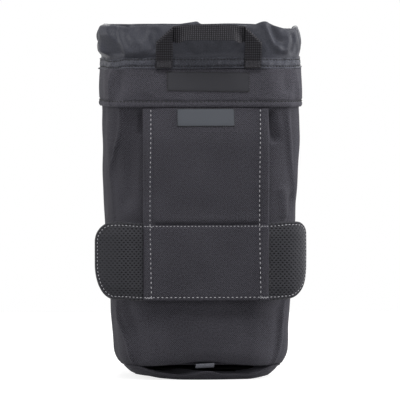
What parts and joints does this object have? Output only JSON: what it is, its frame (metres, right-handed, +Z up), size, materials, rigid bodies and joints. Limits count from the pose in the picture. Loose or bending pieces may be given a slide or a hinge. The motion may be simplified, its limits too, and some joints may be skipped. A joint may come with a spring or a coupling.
{
  "type": "lens pouch",
  "caption": "Padded drop-in lens pouch with a tuck-in collar, webbing grab handle, belt flap with padded wings, and a bottom pocket holding a rain cover.",
  "frame": {"origin": "on the floor under the pouch's axis, in the middle of the base", "axes": "+Z up towards the mouth, -Y out of the belt side with the flap and handle, +X to the right as seen from the belt side"},
  "size_m": [0.1254, 0.114, 0.2117],
  "materials": {
    "outer_fabric": "matte woven polyester",
    "collar_fabric": "light ripstop nylon with a soft sheen",
    "webbing": "woven webbing",
    "wing_mesh": "open-hole spacer mesh",
    "foam": "closed-cell foam",
    "lining": "brushed lining",
    "band_label": "bare woven label",
    "flap_label": "bare woven label",
    "tab_fabric": "folded tape",
    "pile_tape": "hook and loop pile",
    "stiffener_sheet": "plain sheet",
    "eyelet_metal": "satin"
  },
  "bodies": {
    "pouch": {"rear_panel": "outer_fabric", "right_side_panel": "outer_fabric", "front_panel": "outer_fabric", "left_side_panel": "outer_fabric", "rear_pad": "foam", "right_side_pad": "foam", "front_pad": "foam", "left_side_pad": "foam", "lining_sleeve": "lining", "lining_floor": "lining", "base_pad": "foam", "base_panel": "outer_fabric", "pocket_tray": "outer_fabric", "mouth_band": "outer_fabric", "band_stiffener": "stiffener_sheet", "collar": "collar_fabric", "collar_seam_tape": "collar_fabric", "collar_sleeve": "collar_fabric", "band_label": "band_label", "loop_tape": "pile_tape"},
    "belt_flap": {"flap_panel": "outer_fabric", "flap_stiffener": "stiffener_sheet", "flap_backing": "outer_fabric", "flap_binding_left": "outer_fabric", "flap_binding_right": "outer_fabric", "hook_tape": "pile_tape", "flap_label": "flap_label"},
    "left_wing": {"left_wing_mesh": "wing_mesh", "left_wing_pad": "foam", "left_wing_backing": "outer_fabric"},
    "right_wing": {"right_wing_mesh": "wing_mesh", "right_wing_pad": "foam", "right_wing_backing": "outer_fabric"},
    "handle": {"handle_strap": "webbing"},
    "collar_hem": {"collar_hem": "collar_fabric", "hem_eyelet_left": "eyelet_metal", "hem_eyelet_right": "eyelet_metal"},
    "rain_cover": {"rain_cover": "collar_fabric", "rain_cover_tab": "tab_fabric"}
  },
  "joints": [
    {"name": "flap_hinge", "type": "hinge", "parent": "pouch", "child": "belt_flap", "pos_m": [0, -0.0499, 0.162], "axis": [-1, 0, 0], "range_deg": [0, 100]},
    {"name": "left_wing_flex", "type": "hinge", "parent": "belt_flap", "child": "left_wing", "pos_m": [-0.0375, -0.0562, 0.0708], "axis": [0, 0, 1], "range_deg": [0, 60]},
    {"name": "right_wing_flex", "type": "hinge", "parent": "belt_flap", "child": "right_wing", "pos_m": [0.0375, -0.0562, 0.0708], "axis": [0, 0, -1], "range_deg": [0, 60]},
    {"name": "handle_swing", "type": "hinge", "parent": "pouch", "child": "handle", "pos_m": [0, -0.0502, 0.1853], "axis": [1, 0, 0], "range_deg": [0, 75]},
    {"name": "collar_pull_up", "type": "slide", "parent": "pouch", "child": "collar_hem", "axis": [0, 0, 1], "range_m": [0, 0.076], "deforming": ["collar_sleeve"]},
    {"name": "rain_cover_pull", "type": "slide", "parent": "pouch", "child": "rain_cover", "axis": [0, -1, 0], "range_m": [0, 0.06]}
  ]
}
